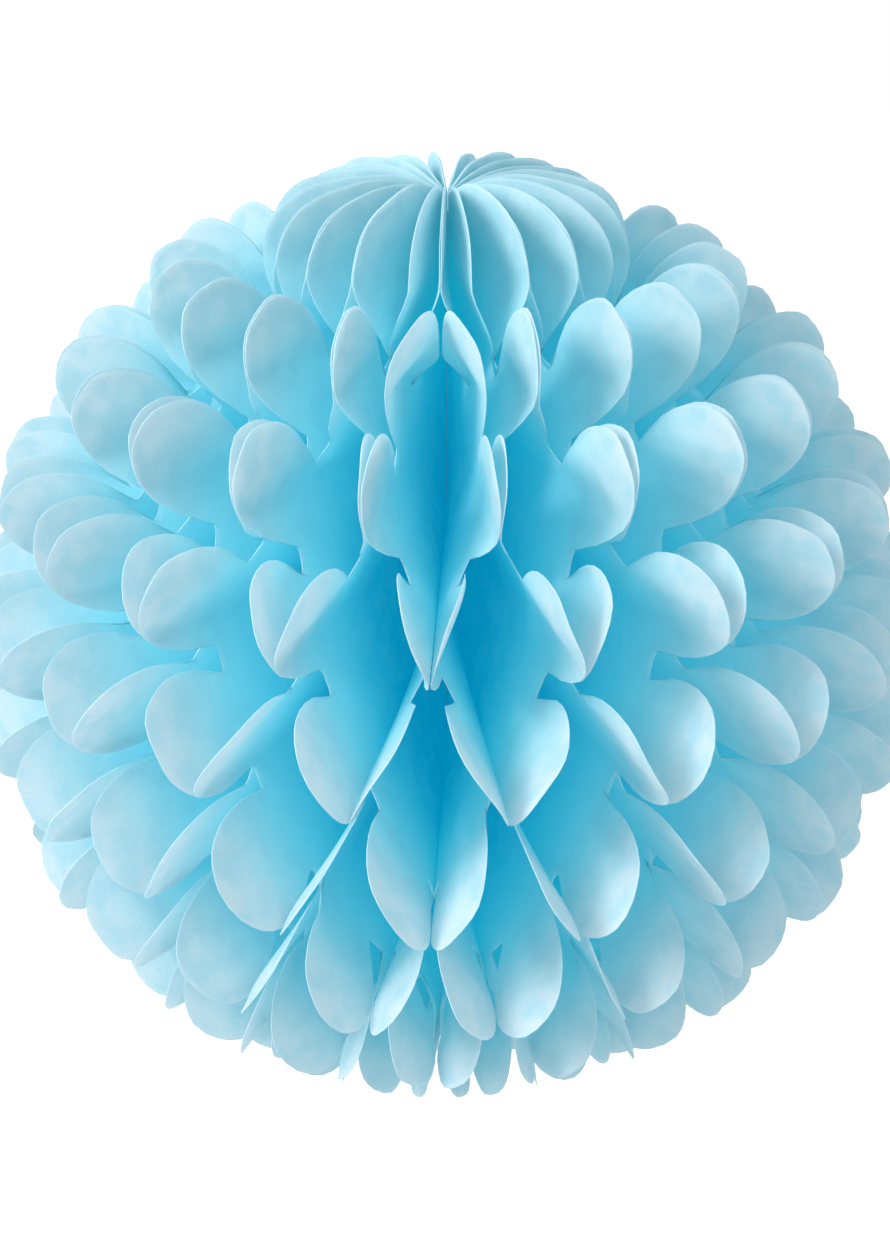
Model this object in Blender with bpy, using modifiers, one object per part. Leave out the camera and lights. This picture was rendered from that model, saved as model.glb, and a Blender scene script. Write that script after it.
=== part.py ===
"""Scalloped paper honeycomb ball, opened full and hung from its spine.

The ball is a stack of half-disc paper leaves, bound along their straight edges and fanned out into a
whole turn about the upright spine. Each leaf's round edge is cut into petals with a slot between one
petal and the next. Every petal is glued near its lower end to one neighbouring leaf, and the petal above
it to the neighbour on the other side, so an open leaf swings to and fro inside its own wedge and the
leaves between them make the honeycomb cells. Past a fold from the glue to the slot above, a petal is
free. The top ones lie flat on their partners, and the lower ones hang open.

Metres, +Z up, origin at the ball's centre. The front is -Y, where the first and the last leaf meet.
"""

import math

import bmesh
import bpy
from mathutils import Matrix, Vector

# The ball
BALL_RADIUS = 0.150
POLE_DIMPLE = 0.0075

# The leaves: tissue is drawn at ten times its real thickness, so that each leaf is a solid
LEAF_PAIRS = 20
PAPER_THICKNESS = 0.0003
LEAF_CLEARANCE = 0.0004

# The petals of one leaf: one large petal at each pole, and equal ones between them. The ball hangs
# from its top, so the top petal is drawn out more than the bottom one.
MIDDLE_PETALS = 8
TOP_PETAL_ANGLE = math.radians(25.6)
BOTTOM_PETAL_ANGLE = math.radians(22.8)
PETAL_LENGTH = 0.036
SLOT_WIDTH = 0.0075
SLOT_NARROWING = 0.5
PETAL_SQUARENESS = 2.6
POLE_ROUNDING = 3
PETAL_STEPS = 5

# The glue, as a turn along a petal's edge, and how far a leaf still leans to its side at the poles
GLUE_TURN = math.radians(-54)
POLE_SWING = 0.5

# The free petals: how far they hang open, below which latitude, and towards which side of the ball most
FULL_OPENING = 0.95
OPENING_LATITUDE = math.radians(24)
OPENING_BAND = math.radians(9)
OPENING_CURVE = 1.2
WIDEST_BEARING = math.radians(-25)
FAR_SIDE_LOSS = 0.8
SEAM_OPENING = 0.95

# The binding, a stitched and glued spine inside the leaves
BINDING_CLEARANCE = 0.0004
BINDING_SETBACK = 0.004
BINDING_SIDES = 20

# Colours, as linear values
PAPER_BLUE = (0.32, 0.68, 0.86, 1.0)
PAPER_PALE = (0.45, 0.78, 0.90, 1.0)

LEAF_COUNT = 2 * LEAF_PAIRS
WEDGE = 2 * math.pi / LEAF_COUNT
HALF_WEDGE = WEDGE / 2
# How far a leaf's middle surface stays from the plane that it shares with its neighbour
STAND_OFF = (PAPER_THICKNESS + LEAF_CLEARANCE) / 2
# Nearer the axis than this there is no room for the leaves side by side
INNER_RADIUS = STAND_OFF / math.sin(HALF_WEDGE)
SLOT_END_RADIUS = BALL_RADIUS - PETAL_LENGTH
POLE_HEIGHT = BALL_RADIUS - POLE_DIMPLE
MIDDLE_PETAL_ANGLE = (math.pi - TOP_PETAL_ANGLE - BOTTOM_PETAL_ANGLE) / MIDDLE_PETALS
SLOT_HALF_ANGLE = SLOT_WIDTH / 2 / SLOT_END_RADIUS


def clear_scene():
    """Removes every object, so that the script starts from an empty scene."""
    for item in list(bpy.data.objects):
        bpy.data.objects.remove(item, do_unlink=True)


def make_material(name, colour):
    """Returns a matt paper material."""
    material = bpy.data.materials.new(name)
    material.use_nodes = True
    shader = material.node_tree.nodes["Principled BSDF"]
    shader.inputs["Base Color"].default_value = colour
    shader.inputs["Roughness"].default_value = 0.8
    shader.inputs["Metallic"].default_value = 0.0
    material.diffuse_color = colour
    return material


def turn_to_edge(turn):
    """Gives a petal's place across and its reach outwards for a turn of -90 to 90 degrees.

    The edge is a superellipse: across and reach both lie on |x|^n + |y|^n = 1.
    """
    power = 2 / PETAL_SQUARENESS
    across = math.copysign(abs(math.sin(turn)) ** power, turn)
    reach = max(math.cos(turn), 0.0) ** power
    return across, reach


def petal_turns():
    """Returns the turns of a petal's points, the second of which is the glue."""
    rest = math.pi / 2 - GLUE_TURN
    return [-math.pi / 2] + [GLUE_TURN + rest * step / (PETAL_STEPS - 1) for step in range(PETAL_STEPS)]


def petal_edge(low, high):
    """Returns one petal's edge as (across, radius, height) points, from latitude low to latitude high.

    Its tip lies on the ball. At a slot the edge starts at the slot's inner end, and the slot narrows on
    its way out. At a pole the edge starts in the dimple.
    """
    middle = (low + high) / 2
    half = (high - low) / 2
    points = []
    for turn in petal_turns():
        across, reach = turn_to_edge(turn)
        at_pole = (high if across > 0 else -low) > math.pi / 2 - 1e-6
        if at_pole:
            distance = POLE_HEIGHT + (BALL_RADIUS - POLE_HEIGHT) * reach ** POLE_ROUNDING
            latitude = middle + across * half
        else:
            distance = SLOT_END_RADIUS + PETAL_LENGTH * reach
            slot = SLOT_HALF_ANGLE * (1 - SLOT_NARROWING * math.sin(math.pi * reach))
            latitude = middle + across * (half - slot)
        radius = max(distance * math.cos(latitude), INNER_RADIUS)
        points.append((across, radius, distance * math.sin(latitude)))
    return points


def petal_bounds():
    """Returns the lower and upper latitude of each petal of a leaf, from the bottom pole to the top one."""
    lowest_slot = -math.pi / 2 + BOTTOM_PETAL_ANGLE
    slots = [lowest_slot + MIDDLE_PETAL_ANGLE * step for step in range(MIDDLE_PETALS + 1)]
    edges = [-math.pi / 2, *slots, math.pi / 2]
    return list(zip(edges, edges[1:]))


def glue_sides(index):
    """Returns the side of its wedge, -1 or 1, to which a leaf is glued at each petal but the lowest.

    Neighbours take turns. The first and the last leaf are glued to each other at the top petal, and
    part at the one below it, which leaves the seam at the front.
    """
    sides = [1.0 if (MIDDLE_PETALS + 1 - row + index) % 2 else -1.0 for row in range(MIDDLE_PETALS + 1)]
    if index in (0, LEAF_COUNT - 1):
        to_seam = -1.0 if index == 0 else 1.0
        sides[-1] = to_seam
        sides[-2] = -to_seam
    return sides


def petal_opening(latitude, bearing):
    """Returns how far a petal hangs open, from 0, flat on its partner, to 1.

    The petals near the top lie shut, and those by the seam at the front hang open most.
    """
    hang = 1 / (1 + math.exp((latitude - OPENING_LATITUDE) / OPENING_BAND))
    near = 1 - FAR_SIDE_LOSS * (1 - math.cos(bearing - WIDEST_BEARING)) / 2
    return FULL_OPENING * hang * near


def leaf_openings(index, sides):
    """Returns how far each petal of a leaf but the lowest hangs open."""
    openings = []
    for (low, high), side in zip(petal_bounds()[1:], sides):
        bearing = (index + 0.5 + side / 2) * WEDGE
        openings.append(petal_opening((low + high) / 2, bearing))
    if index in (0, LEAF_COUNT - 1):
        openings[-2] = SEAM_OPENING
    return openings


def petal_swing(side, opening, across):
    """Returns where a free petal's edge stands in its wedge, from -1 to 1, at a place across the petal."""
    glue_across = turn_to_edge(GLUE_TURN)[0]
    climb = max(across - glue_across, 0.0) / (1 - glue_across)
    return side * (1 - 2 * opening * climb ** OPENING_CURVE)


def wall_swing(height, lines, sides):
    """Returns where a leaf's wall stands in its wedge, from -1 to 1, at a height.

    It goes over from one side to the other between one glue line and the next.
    """
    stops = [(-POLE_HEIGHT, POLE_SWING * sides[0])]
    stops += list(zip(lines, sides))
    stops.append((BALL_RADIUS, POLE_SWING * sides[-1]))
    for (below, first), (above, second) in zip(stops, stops[1:]):
        if height <= above:
            share = max(height - below, 0.0) / (above - below)
            return first + (second - first) * share
    return stops[-1][1]


def leaf_mesh(name, index):
    """Makes one leaf as an open sheet along +X, bent to and fro inside its wedge.

    The flat leaf is a wall and its free petals, which share their folds. The wall is cut across at every
    glue line, which gives it its folds too, and then all of it is bent.
    """
    petals = [petal_edge(low, high) for low, high in petal_bounds()]
    lines = [petal[1][2] for petal in petals[1:]]
    sides = glue_sides(index)
    openings = leaf_openings(index, sides)
    sheet = bmesh.new()
    rows = [[sheet.verts.new((radius, 0, height)) for _, radius, height in petal] for petal in petals]
    wall = rows[0] + [vertex for row in rows[1:] for vertex in (row[0], row[1], row[-1])]
    sheet.faces.new(wall)
    flaps = {sheet.faces.new(row[1:]) for row in rows[1:]}
    for line in lines:
        faces = [face for face in sheet.faces if face not in flaps]
        edges = {edge for face in faces for edge in face.edges}
        bmesh.ops.bisect_plane(
            sheet, geom=[*faces, *edges, *{vertex for edge in edges for vertex in edge.verts}],
            dist=1e-6, plane_co=Vector((0, 0, line)), plane_no=Vector((0, 0, 1)))
    bmesh.ops.triangulate(sheet, faces=sheet.faces[:])
    free = {}
    for row, petal, side, opening in zip(rows[1:], petals[1:], sides, openings):
        for vertex, (across, _, _) in zip(row[2:-1], petal[2:-1]):
            free[vertex] = petal_swing(side, opening, across)
    for vertex in sheet.verts:
        radius = vertex.co.x
        room = HALF_WEDGE - math.asin(min(STAND_OFF / radius, 1.0))
        angle = room * free.get(vertex, wall_swing(vertex.co.z, lines, sides))
        vertex.co.x = radius * math.cos(angle)
        vertex.co.y = radius * math.sin(angle)
    mesh = bpy.data.meshes.new(name)
    sheet.to_mesh(mesh)
    sheet.free()
    return mesh


def add_leaves(collection, material):
    """Places the leaves round the spine, each in its own wedge."""
    for index in range(LEAF_COUNT):
        name = f"leaf_{index + 1:02d}"
        mesh = leaf_mesh(name, index)
        mesh.materials.append(material)
        leaf = bpy.data.objects.new(name, mesh)
        leaf.rotation_euler.z = (index + 0.5) * WEDGE - math.pi / 2
        collection.objects.link(leaf)
        thickness = leaf.modifiers.new("paper", 'SOLIDIFY')
        thickness.thickness = PAPER_THICKNESS
        thickness.offset = 0
        thickness.use_even_offset = True
        thickness.use_quality_normals = True


def add_binding(collection, material):
    """Adds the bound spine, a slim upright rod just inside the leaves' straight edges."""
    body = bmesh.new()
    radius = INNER_RADIUS - BINDING_CLEARANCE
    bmesh.ops.create_cone(
        body, cap_ends=True, segments=BINDING_SIDES, radius1=radius, radius2=radius,
        depth=2 * (POLE_HEIGHT - BINDING_SETBACK), matrix=Matrix.Identity(4))
    mesh = bpy.data.meshes.new("spine_binding")
    body.to_mesh(mesh)
    body.free()
    mesh.materials.append(material)
    mesh.shade_smooth()
    mesh.set_sharp_from_angle(angle=math.radians(40))
    collection.objects.link(bpy.data.objects.new("spine_binding", mesh))


def build():
    """Builds the whole ball in a collection of its own."""
    clear_scene()
    collection = bpy.data.collections.new("paper_honeycomb_ball")
    bpy.context.scene.collection.children.link(collection)
    add_leaves(collection, make_material("tissue_paper", PAPER_BLUE))
    add_binding(collection, make_material("binding_paper", PAPER_PALE))


build()
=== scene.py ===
# %% [markdown]
# # A scalloped honeycomb ball in light blue tissue
#
# The object is a paper ball that folds flat for the post. Forty half-disc leaves of tissue are bound
# along their straight edges and glued to each other in spots, so that they open into a full ball with
# deep cells between the leaves. Each leaf's round edge is cut into petals.
#
# The CAD frame already holds every leaf as a coarse solid in its own wedge. Here each leaf is worked out
# again as a smooth sheet with numpy, becomes thin tissue that lets light through, and hangs in soft light.

import bpy
import numpy as np
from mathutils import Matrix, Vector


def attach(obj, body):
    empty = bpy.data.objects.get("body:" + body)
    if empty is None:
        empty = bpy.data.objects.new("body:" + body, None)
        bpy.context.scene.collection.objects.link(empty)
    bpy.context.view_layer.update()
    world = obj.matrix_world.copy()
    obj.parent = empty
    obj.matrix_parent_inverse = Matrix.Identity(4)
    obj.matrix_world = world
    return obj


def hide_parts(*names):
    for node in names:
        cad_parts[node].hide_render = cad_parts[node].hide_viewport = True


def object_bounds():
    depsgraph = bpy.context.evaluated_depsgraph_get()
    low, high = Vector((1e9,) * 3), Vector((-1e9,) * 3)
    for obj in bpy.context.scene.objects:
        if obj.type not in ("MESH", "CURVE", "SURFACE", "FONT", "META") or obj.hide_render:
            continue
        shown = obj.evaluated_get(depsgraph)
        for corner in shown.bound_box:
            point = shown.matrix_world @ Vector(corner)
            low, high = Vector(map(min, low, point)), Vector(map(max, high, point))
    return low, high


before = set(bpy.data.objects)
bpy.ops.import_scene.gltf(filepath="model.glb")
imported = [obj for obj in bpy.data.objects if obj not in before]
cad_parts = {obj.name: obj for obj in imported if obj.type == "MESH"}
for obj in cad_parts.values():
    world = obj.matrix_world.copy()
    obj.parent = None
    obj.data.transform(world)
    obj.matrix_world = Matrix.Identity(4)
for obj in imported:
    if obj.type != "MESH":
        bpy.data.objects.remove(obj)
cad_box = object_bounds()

LEAF_NODES = sorted(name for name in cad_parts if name.startswith("leaf_"))
LEAF_COUNT = len(LEAF_NODES)
CAD_LOW, CAD_HIGH = np.array(cad_box[0]), np.array(cad_box[1])
print("leaves:", LEAF_COUNT, "box:", CAD_LOW.round(4), CAD_HIGH.round(4))

# %% [markdown]
# ## Sizes
#
# The sizes are those that someone who cuts and glues the paper would give, in metres. One leaf has a
# wedge of the ball to itself, and the petals have two kinds: a large one at each pole and equal ones
# between. The ball hangs from its top, so its rows of petals sit a little lower than the middle.

# %% Sizes of the ball and the paper
BALL_RADIUS = 0.150
POLE_HEIGHT = 0.1425
INNER_RADIUS = 0.0026
PAPER = 0.00016
STAND_OFF = 0.0002

WEDGE = 2 * np.pi / LEAF_COUNT
HALF_WEDGE = WEDGE / 2
print("wedge in degrees:", round(float(np.degrees(WEDGE)), 2))

# %% Sizes of the petals
MIDDLE_PETALS = 8
TOP_PETAL_ANGLE = np.radians(25.6)
BOTTOM_PETAL_ANGLE = np.radians(22.8)
PETAL_LENGTH = 0.036
SLOT_WIDTH = 0.0075
SLOT_RADIUS = BALL_RADIUS - PETAL_LENGTH
PETAL_ROWS = MIDDLE_PETALS + 2

BETWEEN = np.linspace(BOTTOM_PETAL_ANGLE - np.pi / 2, np.pi / 2 - TOP_PETAL_ANGLE, MIDDLE_PETALS + 1)
PETAL_BOUNDS = np.concatenate([[-np.pi / 2], BETWEEN, [np.pi / 2]])
print("petals on a leaf:", PETAL_ROWS, "slots in degrees:", np.degrees(BETWEEN).round(1))

# %% [markdown]
# ## The outline of a leaf
#
# A petal could be drawn as a curve and filled, but then its points would sit only on its edge, and the
# paper couldn't bend between them. So the outline is kept as columns, one for each point of the edge,
# from the bottom pole to the top one, and each column becomes a line of points later.
#
# A petal's edge is a superellipse: round at the tip, fuller at its shoulders than a circle. The slot
# beside it has a blunt inner end and narrows on its way out, as the punch cuts it.

# %% Outline of one petal
PETAL_SQUARENESS = 2.6
POLE_ROUNDING = 3
SLOT_NARROWING = 0.5
NEAR_POLE = np.radians(89.9)


def superellipse(turn):
    """Place across and reach outwards at a turn of -90 to 90 degrees, with |x|^n + |y|^n = 1."""
    power = 2 / PETAL_SQUARENESS
    across = np.sign(turn) * np.abs(np.sin(turn)) ** power
    reach = np.maximum(np.cos(turn), 0) ** power
    return across, reach


def petal_edge(turn, low, high):
    """Across, root latitude, latitude and distance of a petal's edge at each turn.

    distance = slot end + length * reach, or at a pole dimple + depth * reach^3.
    latitude = root latitude + across * slot * narrowing * sin(180 degrees * reach).
    """
    across, reach = superellipse(turn)
    pole = np.where(across > 0, high > NEAR_POLE, low < -NEAR_POLE)
    slot = np.where(pole, 0, SLOT_WIDTH / 2 / SLOT_RADIUS)
    root = (low + high) / 2 + across * ((high - low) / 2 - slot)
    latitude = root + across * slot * SLOT_NARROWING * np.sin(np.pi * reach)
    at_slot = SLOT_RADIUS + PETAL_LENGTH * reach
    at_pole = POLE_HEIGHT + (BALL_RADIUS - POLE_HEIGHT) * reach**POLE_ROUNDING
    return across, root, latitude, np.where(pole, at_pole, at_slot)


# %% Columns of a leaf
MIDDLE_COLUMNS = 19
POLE_COLUMNS = 27
SLOT_COLUMNS = np.array([-0.6, 0.6])
SLOT_END_DEPTH = 0.0014


def leaf_columns():
    """All the columns of a leaf as arrays: petal row, turn, across, root latitude, latitude, distance.

    Rows count from 1 at the top. The two columns at a slot's blunt end have the row 0.
    """
    parts = []
    for index, (low, high) in enumerate(zip(PETAL_BOUNDS[:-1], PETAL_BOUNDS[1:])):
        count = POLE_COLUMNS if index in (0, PETAL_ROWS - 1) else MIDDLE_COLUMNS
        turn = np.linspace(-np.pi / 2, np.pi / 2, count)
        parts.append([np.full(count, PETAL_ROWS - index), turn, *petal_edge(turn, low, high)])
        if index < PETAL_ROWS - 1:
            none = np.zeros(len(SLOT_COLUMNS))
            latitude = high + SLOT_COLUMNS * SLOT_WIDTH / 2 / SLOT_RADIUS
            end = SLOT_RADIUS - SLOT_END_DEPTH * (1 - SLOT_COLUMNS**2)
            parts.append([none, none, none, latitude, latitude, end])
    return [np.concatenate(kind) for kind in zip(*parts)]


ROW, TURN, ACROSS, ROOT, LATITUDE, OUTER = leaf_columns()
ROW = ROW.astype(int)
print("columns on a leaf:", len(ROW))

# %% [markdown]
# ## The glue lines and the swing
#
# Stripes of glue run level across a leaf, one near the lower corner of every petal but the lowest, and
# join it to its left and its right neighbour in turn. So an open leaf swings from one side of its wedge
# to the other as it climbs. Swing is -1 on the left side of the wedge and 1 on the right one. A cloth
# simulation could find this shape too, but the glue lines fix it so well that a formula is enough.
#
# The first and the last leaf close the ball at the front. They are glued to each other in the top row
# and let go of each other in the second, which is the seam that the photograph shows.

# %% Glue heights
GLUE_TURN = np.radians(-54)
GLUE_ACROSS, GLUE_REACH = superellipse(GLUE_TURN)
GLUE_DISTANCE = SLOT_RADIUS + PETAL_LENGTH * GLUE_REACH


def glue_height(low, high):
    """Height of the glue on the petal between two latitudes: its distance times sin(latitude)."""
    _, _, latitude, distance = petal_edge(GLUE_TURN, low, high)
    return distance * np.sin(latitude)


GLUE_HEIGHTS = np.array([glue_height(low, high) for low, high in zip(PETAL_BOUNDS[1:-1], PETAL_BOUNDS[2:])])
print("glue heights in mm, from the lowest:", (GLUE_HEIGHTS * 1000).round(1))

# %% Swing of the stretched wall
CREASE = 0.93
POLE_SWING = 0.5


def leaf_sides(index):
    """Which side of its wedge a leaf is glued on, row by row from the top, with neighbours taking turns."""
    sides = np.where((np.arange(1, PETAL_ROWS) + index) % 2, 1.0, -1.0)
    if index in (0, LEAF_COUNT - 1):
        to_seam = -1.0 if index == 0 else 1.0
        sides[:2] = to_seam, -to_seam
    return sides


def wall_swing(height, sides):
    """Swing of the wall at each height, which goes over from one glue line to the next.

    Between two lines it is a cosine whose middle is pulled straight: arcsin(c cos x) / arcsin(c).
    """
    stops = np.concatenate([[-POLE_HEIGHT], GLUE_HEIGHTS, [BALL_RADIUS]])
    values = np.concatenate([[sides[-1] * POLE_SWING], sides[::-1], [sides[0] * POLE_SWING]])
    band = np.clip(np.searchsorted(stops, height) - 1, 0, len(stops) - 2)
    share = np.clip((height - stops[band]) / (stops[band + 1] - stops[band]), 0, 1)
    share = 0.5 - 0.5 * np.arcsin(CREASE * np.cos(np.pi * share)) / np.arcsin(CREASE)
    return values[band] + (values[band + 1] - values[band]) * share


# %% [markdown]
# ## The free petals
#
# Only the glue holds a leaf at the side of its wedge. Past a fold from the petal's glued corner up to
# the end of the slot above it nothing pulls on the paper. On top of the ball such a petal lies flat on
# its glued partner. Lower down the two hang open like a V, most of all by the seam at the front, where
# the cells are pulled widest.

# %% How far petals hang open
FULL_OPENING = 0.95
OPENING_LATITUDE = np.radians(24)
OPENING_BAND = np.radians(9)
WIDEST_BEARING = np.radians(-25)
FAR_SIDE_LOSS = 0.8
SEAM_OPENING = 0.95


def leaf_openings(index, sides):
    """How far each petal with glue hangs open, from the top row down: 0 is shut, 1 is wide open.

    opening = full / (1 + exp((latitude - middle) / band)) * (1 - loss * (1 - cos(bearing)) / 2)
    """
    latitude = (PETAL_BOUNDS[1:-1] + PETAL_BOUNDS[2:])[::-1] / 2
    bearing = (index + 0.5 + sides / 2) * WEDGE
    hang = 1 / (1 + np.exp((latitude - OPENING_LATITUDE) / OPENING_BAND))
    near = 1 - FAR_SIDE_LOSS * (1 - np.cos(bearing - WIDEST_BEARING)) / 2
    openings = FULL_OPENING * hang * near
    if index in (0, LEAF_COUNT - 1):
        openings[1] = SEAM_OPENING
    return openings


# %% Past the fold
SMALLEST_FLAP = 1e-5


def past_fold(distance):
    """How far past its fold each point lies, from 0 on the wall to 1 at the petal's edge, and its climb.

    The fold runs straight from the glued corner to the inner end of the slot above, or to the pole.
    """
    climb = np.clip((ACROSS - GLUE_ACROSS) / (1 - GLUE_ACROSS), 0, 1)
    far_end = np.where(ROW == 1, POLE_HEIGHT, SLOT_RADIUS)
    fold = GLUE_DISTANCE + (far_end - GLUE_DISTANCE) * climb
    free = (ROW > 0) & (ROW < PETAL_ROWS) & (ACROSS > GLUE_ACROSS) & (OUTER - fold > SMALLEST_FLAP)
    share = np.clip((distance - fold) / np.where(free, OUTER - fold, 1), 0, 1)
    return np.where(free, np.sin(np.pi / 2 * share), 0), climb


# %% Swing of the whole leaf
OPENING_CURVE = 1.2
OPENING_SPREAD = 0.13
CUP_SPREAD = 0.16
RIPPLE = 0.05
RIPPLE_BEATS = (2.3, 4.1)
SECOND_RIPPLE = 0.6


def leaf_swing(index, distance, height, random):
    """Swing of every point: the wall's, blended past the fold into the swing of the free petal.

    free swing = side * (1 - 2 * opening * climb^1.2), cupped by a sine and rippled by two others.
    """
    sides = leaf_sides(index)
    openings = leaf_openings(index, sides)
    openings *= random.uniform(1 - OPENING_SPREAD, 1 + OPENING_SPREAD, PETAL_ROWS - 1)
    cups = random.uniform(0, CUP_SPREAD, PETAL_ROWS - 1) * np.minimum(openings * 2, 1)
    phases = random.uniform(0, 2 * np.pi, (2, PETAL_ROWS))
    wall = wall_swing(height, sides)
    past, climb = past_fold(distance)
    row = np.clip(ROW - 1, 0, PETAL_ROWS - 2)
    side = sides[row]
    free = side * (1 - 2 * openings[row] * climb**OPENING_CURVE - cups[row] * np.sin(np.pi * climb))
    first, second = [np.sin(beat * TURN + phase[ROW - 1]) for beat, phase in zip(RIPPLE_BEATS, phases)]
    ripple = first + SECOND_RIPPLE * second
    swing = wall + past * (free - wall) + RIPPLE * past**2 * ripple * np.sin(np.pi * climb)
    return np.clip(swing, -1, 1)


# %% [markdown]
# ## A leaf as a grid
#
# Every column of the outline becomes a line of points. It runs level from the spine out to a circle
# inside the slots, and from there straight out to the edge. The swing then turns each point about the
# spine, and never past the side of the wedge, less the small gap that the paper keeps from it.
#
# Die-cut tissue is never quite even, so each petal is a little longer or shorter than the next, and its
# edge wanders by a fraction of a millimetre. Each leaf has a random generator of its own, with a fixed
# seed, so the ball comes out the same every time.

# %% A worn outline
LENGTH_SPREAD = 0.014
WANDER = 0.00022
WANDER_BEATS = (3.1, 5.3, 8.7)


def worn_outline(random):
    """The outer distance of each column, with every petal's length and edge changed a little."""
    length = np.append(1, 1 + random.uniform(-LENGTH_SPREAD, LENGTH_SPREAD, PETAL_ROWS))
    phases = random.uniform(0, 2 * np.pi, (3, PETAL_ROWS + 1))
    wander = sum(np.sin(beat * TURN + phase[ROW]) for beat, phase in zip(WANDER_BEATS, phases))
    inside = np.minimum(OUTER, SLOT_RADIUS)
    return inside + (OUTER - inside) * length[ROW] + WANDER * wander * np.cos(TURN) * (ROW > 0)


# %% Points of a leaf
HUB = 0.72 * BALL_RADIUS
WALL_STEPS = 9
PETAL_STEPS = 12
AXIS_ROOM = 0.002
FIRST_SEED = 2000
POLE_PACKING = 0.11


def leaf_points(index):
    """The middle surface of a leaf: its points, its flat coordinates, and its reach and edge distance.

    x = r sin(a), y = -r cos(a), where a is the wedge's middle plus the swing times the room beside it.
    reach = distance from the ball's centre, less a little near the poles, where the leaves are packed.
    """
    random = np.random.default_rng(FIRST_SEED + index)
    outer = worn_outline(random)
    inwards = np.linspace(0, 1, WALL_STEPS)[:, None]
    outwards = np.linspace(0, 1, PETAL_STEPS + 1)[1:, None]
    level = HUB * inwards * np.ones_like(outer)
    straight = HUB + (outer - HUB) * outwards
    beyond = np.clip((straight - SLOT_RADIUS) / np.maximum(outer - SLOT_RADIUS, 1e-6), 0, 1)
    latitude = ROOT + (LATITUDE - ROOT) * beyond
    sideways = np.vstack([level * (np.cos(ROOT) + AXIS_ROOM), straight * (np.cos(latitude) + AXIS_ROOM)])
    radius = INNER_RADIUS + (1 - INNER_RADIUS / BALL_RADIUS) * sideways
    height = np.vstack([HUB * np.sin(ROOT) * np.ones_like(inwards), straight * np.sin(latitude)])
    swing = leaf_swing(index, np.vstack([level, straight]), height, random)
    room = HALF_WEDGE - np.arcsin(np.minimum(STAND_OFF / radius, np.sin(HALF_WEDGE)))
    angle = (index + 0.5) * WEDGE + room * swing
    points = np.stack([radius * np.sin(angle), -radius * np.cos(angle), height], axis=-1)
    distance = np.hypot(radius, height)
    flat = np.stack([radius, height], axis=-1)
    reach = distance / BALL_RADIUS - POLE_PACKING * np.abs(height / BALL_RADIUS) ** 3
    tone = np.stack([reach, (outer - distance) / PETAL_LENGTH], axis=-1)
    return points, flat, tone


# %% A sheet with a thickness
def grid_normals(points):
    """Unit normals of a grid of points, from the cross product of its two directions."""
    normal = np.cross(np.gradient(points, axis=0), np.gradient(points, axis=1))
    return normal / np.maximum(np.linalg.norm(normal, axis=-1, keepdims=True), 1e-15)


def sheet_faces(rows, columns):
    """Quads of a closed thin sheet: the front, the back turned round, and the rim between them."""
    number = np.arange(rows * columns).reshape(rows, columns)
    front = np.stack([number[:-1, :-1], number[1:, :-1], number[1:, 1:], number[:-1, 1:]], axis=-1)
    front = front.reshape(-1, 4)
    back = front[:, ::-1] + rows * columns
    ring = np.concatenate([number[0, :-1], number[:-1, -1], number[-1, :0:-1], number[:0:-1, 0]])
    following = np.roll(ring, -1)
    rim = np.stack([ring, following, following + rows * columns, ring + rows * columns], axis=-1)
    return front, back, rim


# %% From arrays to a mesh
def make_mesh(name, vertices, faces):
    """A mesh object from arrays of corners and quads."""
    mesh = bpy.data.meshes.new(name)
    mesh.vertices.add(len(vertices))
    mesh.vertices.foreach_set("co", vertices.astype(np.float32).ravel())
    mesh.loops.add(faces.size)
    mesh.loops.foreach_set("vertex_index", faces.astype(np.int32).ravel())
    mesh.polygons.add(len(faces))
    mesh.polygons.foreach_set("loop_start", np.arange(0, faces.size, 4, dtype=np.int32))
    mesh.update(calc_edges=True)
    piece = bpy.data.objects.new(name, mesh)
    bpy.context.scene.collection.objects.link(piece)
    return piece


def add_uv(mesh, name, values, faces):
    """Writes two numbers for each vertex into a UV map."""
    layer = mesh.uv_layers.new(name=name)
    layer.data.foreach_set("uv", values[faces.ravel()].astype(np.float32).ravel())


# %% One leaf as a piece
SHARP_ANGLE = np.radians(70)
FLAT_SCALE = 10.0


def make_leaf(index):
    """Leaf number index as a closed sheet of paper with its two UV maps.

    flat_leaf is the leaf's own flat plane, ten units to a metre and moved on by one for each leaf, so
    that no two leaves have the same clouds. tone holds the reach and the distance from the cut edge.
    """
    points, flat, tone = leaf_points(index)
    normal = grid_normals(points)
    vertices = np.concatenate([(points + normal * PAPER / 2).reshape(-1, 3),
                               (points - normal * PAPER / 2).reshape(-1, 3)])
    front, back, rim = sheet_faces(*points.shape[:2])
    faces = np.concatenate([front, back, rim])
    piece = make_mesh(f"tissue_{LEAF_NODES[index]}", vertices, faces)
    add_uv(piece.data, "flat_leaf", np.tile(flat.reshape(-1, 2) * FLAT_SCALE + index, (2, 1)), faces)
    add_uv(piece.data, "tone", np.tile(tone.reshape(-1, 2), (2, 1)), faces)
    on_rim = np.zeros(len(faces), np.int32)
    on_rim[-len(rim):] = 1
    piece.data.polygons.foreach_set("material_index", on_rim)
    piece.data.shade_smooth()
    piece.data.set_sharp_from_angle(angle=SHARP_ANGLE)
    return piece


# %% [markdown]
# ## Shader maths in Python
#
# A material's nodes could be placed and linked one by one, but a mask that takes five nodes is one sum.
# So a socket is wrapped in a small class whose operators add the Math nodes.

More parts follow.
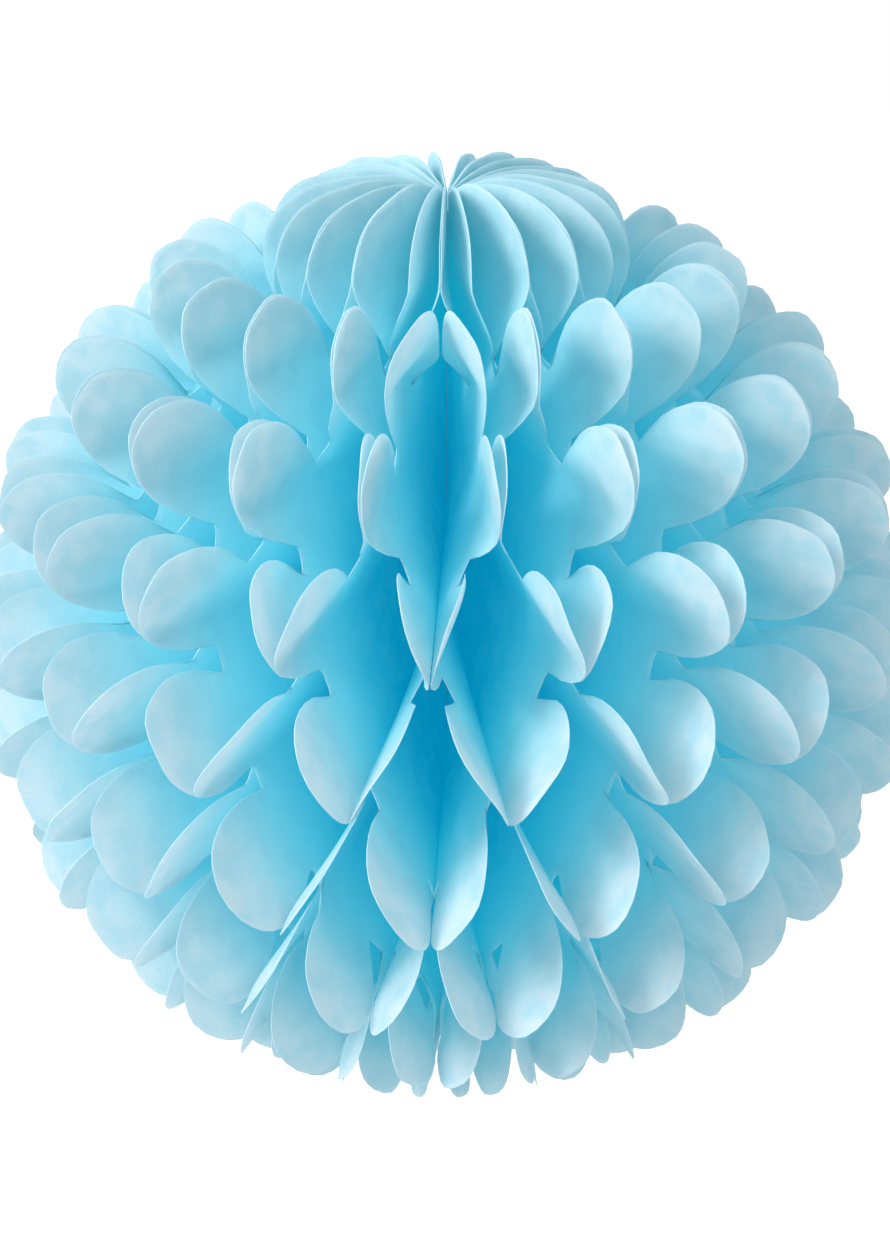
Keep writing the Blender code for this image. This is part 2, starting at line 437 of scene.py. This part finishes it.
# %% Socket wrapper
class Socket:
    """A shader socket that Math nodes are added to by writing a sum."""

    def __init__(self, tree, source):
        self.tree = tree
        self.source = source

    def node(self, kind, settings=(), output=0, **inputs):
        """Adds a node of any type: its settings first, then the values or links of its sockets.

        A socket is given by its name, with _ for a space, or by its number, as in s0.
        """
        added = self.tree.nodes.new(kind)
        for name, value in dict(settings).items():
            setattr(added, name, value)
        for name, value in inputs.items():
            key = int(name[1:]) if name[1:].isdigit() else name.replace("_", " ")
            self.join(value, added.inputs[key])
        return Socket(self.tree, added.outputs[output])

    def join(self, value, socket):
        """Links a wrapped socket, or sets a plain value."""
        if isinstance(value, Socket):
            self.tree.links.new(value.source, socket)
        else:
            socket.default_value = value

    def beside(self, output):
        """Another output of the node that this socket belongs to."""
        return Socket(self.tree, self.source.node.outputs[output])

    def maths(self, operation, first, second):
        return self.node("ShaderNodeMath", {"operation": operation}, s0=first, s1=second)

    def __add__(self, other):
        return self.maths('ADD', self, other)

    __radd__ = __add__

    def __sub__(self, other):
        return self.maths('SUBTRACT', self, other)

    def __rsub__(self, other):
        return self.maths('SUBTRACT', other, self)

    def __mul__(self, other):
        return self.maths('MULTIPLY', self, other)

    __rmul__ = __mul__

    def within(self, low, high):
        """A smooth step from 0 at low to 1 at high."""
        return self.node("ShaderNodeMapRange", {"interpolation_type": 'SMOOTHSTEP'},
                         s0=self, s1=low, s2=high, s3=0.0, s4=1.0)

    def mix(self, first, second):
        """The colour first where this mask is 0 and second where it is 1."""
        return self.node("ShaderNodeMix", {"data_type": 'RGBA'}, output=2, s0=self, s6=first, s7=second)

    def noise(self, scale, detail):
        """Flat noise over this pair of coordinates."""
        return self.node("ShaderNodeTexNoise", {"noise_dimensions": '2D'}, Vector=self, Scale=scale,
                         Detail=detail)


def new_material(name):
    """An empty material, a start for its nodes, and a way to finish it with a shader."""
    material = bpy.data.materials.new(name)
    material.use_nodes = True
    tree = material.node_tree
    tree.nodes.clear()
    surface = tree.nodes.new("ShaderNodeOutputMaterial").inputs["Surface"]
    return material, Socket(tree, None), lambda shader: tree.links.new(shader.source, surface)


# %% [markdown]
# ## Tissue paper
#
# Tissue is dyed right through, matt, and thin enough that a lit sheet glows on its other side. A
# Translucent shader mixed with a matt one does that. Each glow has one colour, and masks mix the three
# glows. Light that has been through many sheets turns a deeper blue, so the paper is painted a deeper,
# darker blue from the petal tips in towards the spine: painted shade, for the dye itself is even.
#
# That light goes from sheet to sheet more often than a render follows it, so emission stands in for the
# rest. It was fitted to the photograph, and it is no small part. Nearly all the light in the
# deepest cells is emission, about half near the poles, and about a fifth on a lit petal. Real tissue
# doesn't glow by itself, so in a darker room the emission has to come down with the lamps.
#
# Clouds and fibres lie in the paper at their true scale, and its fibres give it a fine tooth.

# %% Colours of the tissue
PALE = (0.85, 0.90, 0.925, 1)
# The middle and the deep blue are painted shade: the deeper, darker blue of the light in the cells.
MIDDLE_SHADED_BLUE = (0.57, 0.88, 0.93, 1)
DEEP_SHADED_BLUE = (0.08, 0.70, 0.84, 1)
CLOUD = (0.48, 0.80, 0.885, 1)
# A painted highlight: the paler colour of a band along the cut edge.
EDGE_HIGHLIGHT = (0.86, 0.95, 0.97, 1)
INNER_GLOW = (0.0, 0.150, 0.195, 1)
OUTER_GLOW = (0.012, 0.068, 0.084, 1)
THROUGH = 0.5

# %% Where the colours lie
# Where the painted shade deepens, by reach, on the walls and on the petals.
WALL_FADE = (0.35, 0.76)
PETAL_FADE = (0.72, 0.97)
GLOW_FADE = (0.62, 0.97)
# Width and strength of the painted highlight along the cut edge.
EDGE_HIGHLIGHT_FADE = (0.004, 0.03)
EDGE_HIGHLIGHT_SHARE = 0.4
CLOUD_SCALE = 11.0
CLOUD_FADE = (0.38, 0.66)
CLOUD_SHARE = 0.6
CLOUD_SHIFT = 0.12
FIBRE_SCALE = 95.0
FIBRE_FADE = (0.3, 0.75)
FIBRE_SHARE = 0.22
FIBRE_TOOTH = 0.00014


# %% Tissue
def tissue_material():
    """Matt paper mixed with its own glow, with clouds and fibres in the leaf's flat plane."""
    material, start, finish = new_material("tissue_paper")
    flat = start.node("ShaderNodeUVMap", {"uv_map": "flat_leaf"})
    reach = start.node("ShaderNodeSeparateXYZ", s0=start.node("ShaderNodeUVMap", {"uv_map": "tone"}))
    edge = reach.beside(1)
    clouds = flat.noise(CLOUD_SCALE, 3.0)
    fibres = flat.noise(FIBRE_SCALE, 1.0)
    outwards = reach + (clouds - 0.5) * CLOUD_SHIFT
    # Painted shade: the colour turns deeper and darker from the petal tips in towards the spine.
    deep_shade_mask = outwards.within(*WALL_FADE)
    on_petal = outwards.within(*PETAL_FADE)
    mottle = clouds.within(*CLOUD_FADE) * CLOUD_SHARE + fibres.within(*FIBRE_FADE) * FIBRE_SHARE
    clouded = mottle.mix(on_petal.mix(deep_shade_mask.mix(DEEP_SHADED_BLUE, MIDDLE_SHADED_BLUE), PALE), CLOUD)
    # Painted highlight: the colour turns paler near the cut edge.
    colour = ((1 - edge.within(*EDGE_HIGHLIGHT_FADE)) * EDGE_HIGHLIGHT_SHARE).mix(clouded, EDGE_HIGHLIGHT)
    depth_light = outwards.within(*GLOW_FADE).mix(INNER_GLOW, OUTER_GLOW)
    bump = start.node("ShaderNodeBump", Strength=0.5, Distance=1.0, Height=fibres * FIBRE_TOOTH)
    matt = start.node("ShaderNodeBsdfPrincipled", Base_Color=colour, Roughness=0.75, Normal=bump,
                      Specular_IOR_Level=0.2, Emission_Color=depth_light, Emission_Strength=1.0)
    # The light through the walls takes the same painted deeper blues.
    deep, middle, pale = [start.node("ShaderNodeBsdfTranslucent", Color=colour_through)
                          for colour_through in (DEEP_SHADED_BLUE, MIDDLE_SHADED_BLUE, PALE)]
    wall = start.node("ShaderNodeMixShader", s0=deep_shade_mask, s1=deep, s2=middle)
    glow = start.node("ShaderNodeMixShader", s0=on_petal, s1=wall, s2=pale)
    finish(start.node("ShaderNodeMixShader", s0=THROUGH, s1=matt, s2=glow))
    return material


TISSUE = tissue_material()
print("material:", TISSUE.name)

# %% Cut edge
EDGE_DARK = (0.58, 0.84, 0.93, 1)
EDGE_LIGHT = (0.72, 0.91, 0.96, 1)
SPECK_SCALE = 900.0


def edge_material():
    """The cut edge, where the fibres end: matt and specked, with no light through it."""
    material, start, finish = new_material("tissue_cut_edge")
    place = start.node("ShaderNodeTexCoord", output=3)
    specks = start.node("ShaderNodeTexNoise", Vector=place, Scale=SPECK_SCALE, Detail=2.0)
    colour = specks.within(0.3, 0.7).mix(EDGE_DARK, EDGE_LIGHT)
    finish(start.node("ShaderNodeBsdfPrincipled", Base_Color=colour, Roughness=0.7))
    return material


CUT_EDGE = edge_material()
print("material:", CUT_EDGE.name)

# %% Make the leaves
triangles = 0
for leaf_index in range(LEAF_COUNT):
    leaf = make_leaf(leaf_index)
    leaf.data.materials.append(TISSUE)
    leaf.data.materials.append(CUT_EDGE)
    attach(leaf, "root")
    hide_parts(LEAF_NODES[leaf_index])
    triangles += 2 * len(leaf.data.polygons)
print("leaves made:", LEAF_COUNT, "triangles:", triangles)

# %% [markdown]
# ## The bound spine
#
# Inside the ball the straight edges are glued and wound with thread. Only its ends can be seen, at the
# bottom of the dimple at each pole. A curve with a round profile could lie along the rod as thread, but
# a helix in the rod's own radius makes the turns with one closed mesh.

# %% Spine
SPINE_RADIUS = 0.0021
THREAD_HEIGHT = 0.0003
THREAD_TURNS = 60
SPINE_SETBACK = 0.006
SPINE_END_RADIUS = 0.0004
SPINE_SIDES = 24
SPINE_LEVELS = 961


def make_spine():
    """A closed rod about the axis, whose radius rises and falls along a helix.

    radius = rod - thread + thread * |cos((turn + pitch * level) / 2)|, with a small disc at each end.
    """
    around = np.linspace(0, 2 * np.pi, SPINE_SIDES + 1)[:-1]
    turn, level = np.meshgrid(around, np.linspace(-1, 1, SPINE_LEVELS))
    ridge = np.abs(np.cos((turn + level * 2 * np.pi * THREAD_TURNS) / 2))
    radius = SPINE_RADIUS - THREAD_HEIGHT + THREAD_HEIGHT * ridge
    radius[[0, -1]] = SPINE_END_RADIUS
    height = level * (POLE_HEIGHT - SPINE_SETBACK)
    points = np.stack([radius * np.cos(turn), radius * np.sin(turn), height], axis=-1)
    number = np.arange(turn.size).reshape(turn.shape)
    following = np.roll(number, -1, axis=1)
    sides = np.stack([number[:-1], following[:-1], following[1:], number[1:]], axis=-1).reshape(-1, 4)
    ends = [number[0, ::-1].tolist(), number[-1].tolist()]
    mesh = bpy.data.meshes.new("bound_spine")
    mesh.from_pydata(points.reshape(-1, 3).tolist(), [], sides.tolist() + ends)
    mesh.shade_smooth()
    piece = bpy.data.objects.new("bound_spine", mesh)
    bpy.context.scene.collection.objects.link(piece)
    return piece


spine = make_spine()
spine.data.materials.append(CUT_EDGE)
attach(spine, "root")
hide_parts("spine_binding")
print("spine length in mm:", round(spine.dimensions.z * 1000, 1))

# %% [markdown]
# ## Floor and room
#
# The ball hangs in front of white. A pale floor lies well below it. A brighter room would make the
# background white too, but it would also bleach the paper. So a strength of 1 for camera rays alone
# makes the room behind the ball white without more light on the paper.

# %% Floor
FLOOR_DROP = 0.9
FLOOR_HALF = 6.0
FLOOR_COLOUR = (0.8, 0.8, 0.8, 1)
FLOOR_WHITENESS = 0.5


def make_floor():
    """A large pale square below the ball."""
    level = CAD_LOW[2] - FLOOR_DROP
    corners = np.array([[-1, -1], [1, -1], [1, 1], [-1, 1]]) * FLOOR_HALF
    floor = make_mesh("floor", np.column_stack([corners, np.full(4, level)]), np.array([[0, 1, 2, 3]]))
    material, start, finish = new_material("pale_floor")
    seen = start.node("ShaderNodeLightPath")
    finish(start.node("ShaderNodeBsdfPrincipled", Base_Color=FLOOR_COLOUR, Roughness=0.9,
                      Emission_Color=(1, 1, 1, 1), Emission_Strength=seen * FLOOR_WHITENESS))
    floor.data.materials.append(material)


make_floor()
print("floor below the ball in m:", FLOOR_DROP)

# %% World
SKY_COLOUR = (0.97, 0.985, 1.0, 1)
SKY_STRENGTH = 0.75

world = bpy.data.worlds.new("white_room")
bpy.context.scene.world = world
world.use_nodes = True
world.node_tree.nodes.clear()
sky = Socket(world.node_tree, None)
sky_light = sky.node("ShaderNodeBackground", Color=SKY_COLOUR, Strength=SKY_STRENGTH)
sky_white = sky.node("ShaderNodeBackground", Color=(1, 1, 1, 1), Strength=1.0)
sky_mix = sky.node("ShaderNodeMixShader", s0=sky.node("ShaderNodeLightPath"), s1=sky_light, s2=sky_white)
world_output = world.node_tree.nodes.new("ShaderNodeOutputWorld")
world.node_tree.links.new(sky_mix.source, world_output.inputs["Surface"])
print("world:", world.name)

# %% [markdown]
# ## Lights
#
# A large soft light stands at the left and above. The camera sees the leaves of the right half from the
# side that it lights, and those of the left half from behind, so the right half shows lit faces and the
# left half glows through. A weak light stands further round to the left.

# %% Lights
from mathutils import Vector

LAMP_DISTANCE = 2.2


def direction(bearing, rise):
    """A unit vector towards a bearing from the front and a rise above the level, both in radians."""
    return np.array([np.sin(bearing) * np.cos(rise), -np.cos(bearing) * np.cos(rise), np.sin(rise)])


def facing_ball(place):
    """The turn that points a lamp or a camera from its place at the ball's centre."""
    return (-Vector(place)).to_track_quat('-Z', 'Y').to_euler()


def add_area(name, bearing, rise, size, power, colour):
    """A square soft light at a bearing and a rise in degrees, turned to face the ball."""
    data = bpy.data.lights.new(name, 'AREA')
    data.size = size
    data.energy = power
    data.color = colour
    lamp = bpy.data.objects.new(name, data)
    lamp.location = direction(np.radians(bearing), np.radians(rise)) * LAMP_DISTANCE
    lamp.rotation_euler = facing_ball(lamp.location)
    bpy.context.scene.collection.objects.link(lamp)


add_area("left_light", -56, 34, 1.0, 36, (1.0, 0.99, 0.98))
add_area("back_left_light", -118, 15, 0.9, 10, (1.0, 1.0, 1.0))

# %% [markdown]
# ## Camera
#
# The camera looks down on the ball by 24 degrees and stands five radii away, as near as the photograph's
# perspective asks for. The lens and the shift are given in pixels of the photograph's frame. A sheet has
# two surfaces, so six bounces take light through three sheets only. More would take longer to render.

# %% Camera
FRAME_LONG_SIDE = 1239
SENSOR = 36.0
FOCAL_PIXELS = 2312
CAMERA_DISTANCE = 5 * BALL_RADIUS
CAMERA_BEARING = np.radians(2.0)
CAMERA_RISE = np.radians(24.0)
OFF_CENTRE = (2, -5.5)
LIGHT_BOUNCES = 6

camera_data = bpy.data.cameras.new("camera")
camera_data.sensor_width = SENSOR
camera_data.lens = FOCAL_PIXELS * SENSOR / FRAME_LONG_SIDE
camera_data.shift_x = -OFF_CENTRE[0] / FRAME_LONG_SIDE
camera_data.shift_y = -OFF_CENTRE[1] / FRAME_LONG_SIDE
camera = bpy.data.objects.new("camera", camera_data)
bpy.context.scene.collection.objects.link(camera)
camera.location = direction(CAMERA_BEARING, CAMERA_RISE) * CAMERA_DISTANCE
camera.rotation_euler = facing_ball(camera.location)
bpy.context.scene.camera = camera
bpy.context.scene.cycles.max_bounces = LIGHT_BOUNCES
bpy.context.scene.view_settings.view_transform = 'Standard'
print("lens in mm:", round(camera_data.lens, 1))
